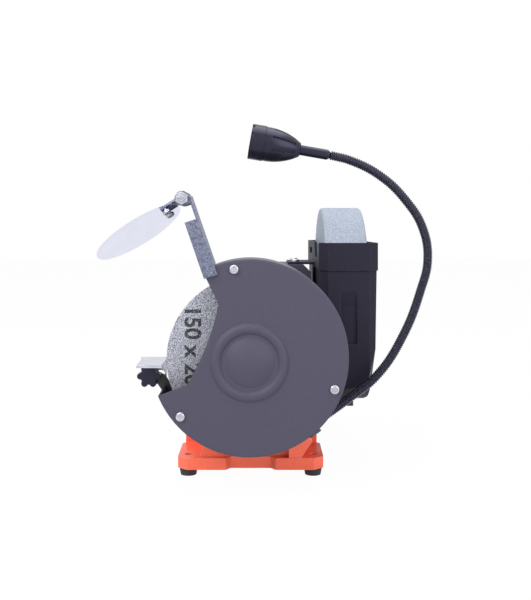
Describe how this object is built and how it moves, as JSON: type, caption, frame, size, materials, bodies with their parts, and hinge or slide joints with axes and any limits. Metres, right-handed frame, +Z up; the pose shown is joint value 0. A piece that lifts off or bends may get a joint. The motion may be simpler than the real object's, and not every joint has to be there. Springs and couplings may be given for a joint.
{
  "type": "bench grinder",
  "caption": "Bench grinder with a guarded fast dry stone, a slow wet stone in a water tank driven by a worm gear, an eye shield, a tool rest and a gooseneck lamp.",
  "frame": {"origin": "on the bench, at the centre of the base bolt pattern", "axes": "+Z up, +X along the motor shaft towards the dry stone, +Y towards the wet stone at the rear"},
  "size_m": [0.3194, 0.3098, 0.3347],
  "materials": {
    "orange_paint": "satin cast orange paint",
    "rubber": "matt black moulded rubber",
    "zinc": "bright zinc plate",
    "galvanised": "spangled galvanised sheet",
    "slate_paint": "satin slate grey paint",
    "black_paint": "black paint",
    "steel": "machined steel",
    "copper": "enamelled copper",
    "bronze": "bronze",
    "dry_grit": "coarse grey grit",
    "wet_grit": "fine pale grit",
    "blotter": "paper washer",
    "tank_plastic": "textured black plastic",
    "clear": "clear polycarbonate",
    "black_plastic": "satin black plastic",
    "neck_black": "black coated ribbed hose",
    "rocker_red": "glossy red plastic",
    "capacitor": "drawn aluminium can"
  },
  "bodies": {
    "frame": {"base": "orange_paint", "rubber_feet": "rubber", "spindle_seal": "rubber", "base_plate_screws": "zinc", "gear_cover_screws": "zinc", "cover_screws": "zinc", "guard_mount_screws": "zinc", "splash_ring_screws": "zinc", "shield_pivot_bolt": "zinc", "shield_pivot_nut": "zinc", "tool_rest_arm_screws": "zinc", "tool_rest_bolt": "zinc", "shield_bracket": "galvanised", "shield_bracket_screw": "galvanised", "base_plate": "galvanised", "guard_cover": "slate_paint", "motor_housing": "slate_paint", "end_bell": "slate_paint", "gear_housing": "slate_paint", "gear_cover": "slate_paint", "guard_shell": "black_paint", "tool_rest_arm": "black_paint", "tank_support": "black_paint", "gooseneck_socket": "black_paint", "stator_core": "steel", "shaft_bearings": "steel", "stator_windings": "copper", "spindle_bushes": "bronze", "water_tank": "tank_plastic", "splash_ring": "tank_plastic", "switch_frame": "black_plastic", "cord_gland": "black_plastic", "run_capacitor": "capacitor"},
    "rotor": {"motor_shaft": "steel", "rotor_core": "steel", "worm": "steel", "dry_stone": "dry_grit", "stone_blotters": "blotter", "dry_inner_flange": "steel", "dry_outer_flange": "steel", "dry_stone_nut": "steel"},
    "wet_drive": {"wet_spindle": "steel", "worm_wheel": "bronze", "wet_stone": "wet_grit", "wet_stone_flanges": "steel", "wet_stone_nut": "steel"},
    "shield": {"shield_clip": "galvanised", "eye_shield": "clear", "shield_screws": "zinc"},
    "rest": {"tool_rest": "zinc"},
    "rest_knob": {"tool_rest_knob": "black_plastic"},
    "rocker": {"switch_rocker": "rocker_red"},
    "lamp_arm": {"gooseneck_fittings": "neck_black", "gooseneck": "neck_black"},
    "lamp_head": {"lamp_sleeve": "black_plastic", "lamp_housing": "black_plastic", "lamp_bezel": "black_plastic", "lamp_lens": "clear", "lamp_board": "black_plastic"}
  },
  "joints": [
    {"name": "rotor_spin", "type": "hinge", "parent": "frame", "child": "rotor", "pos_m": [0, 0, 0.1175], "axis": [1, 0, 0], "continuous": true},
    {"name": "wet_stone_spin", "type": "hinge", "parent": "frame", "child": "wet_drive", "pos_m": [-0.045, 0, 0.1575], "axis": [0, 1, 0], "continuous": true},
    {"name": "shield_tilt", "type": "hinge", "parent": "frame", "child": "shield", "pos_m": [0.136, -0.059, 0.26143], "axis": [1, 0, 0], "range_deg": [-80, 20]},
    {"name": "rest_slide", "type": "slide", "parent": "frame", "child": "rest", "axis": [0, -1, 0], "range_m": [0, 0.01]},
    {"name": "rest_knob_turn", "type": "hinge", "parent": "frame", "child": "rest_knob", "pos_m": [0.106, -0.093, 0.0996], "axis": [1, 0, 0], "continuous": true},
    {"name": "power_rocker", "type": "hinge", "parent": "frame", "child": "rocker", "pos_m": [0, -0.05143, 0.04226], "axis": [1, 0, 0], "range_deg": [0, 18]},
    {"name": "lamp_arm_bend", "type": "hinge", "parent": "frame", "child": "lamp_arm", "pos_m": [0.08, 0.06089, 0.04962], "axis": [1, 0, 0], "range_deg": [-25, 10]},
    {"name": "lamp_head_tilt", "type": "hinge", "parent": "lamp_arm", "child": "lamp_head", "pos_m": [0.08, 0.0726, 0.3053], "axis": [1, 0, 0], "range_deg": [-20, 20]}
  ],
  "couplings": [
    {"joint": "wet_stone_spin", "follows": "rotor_spin", "ratio": 0.045455}
  ]
}
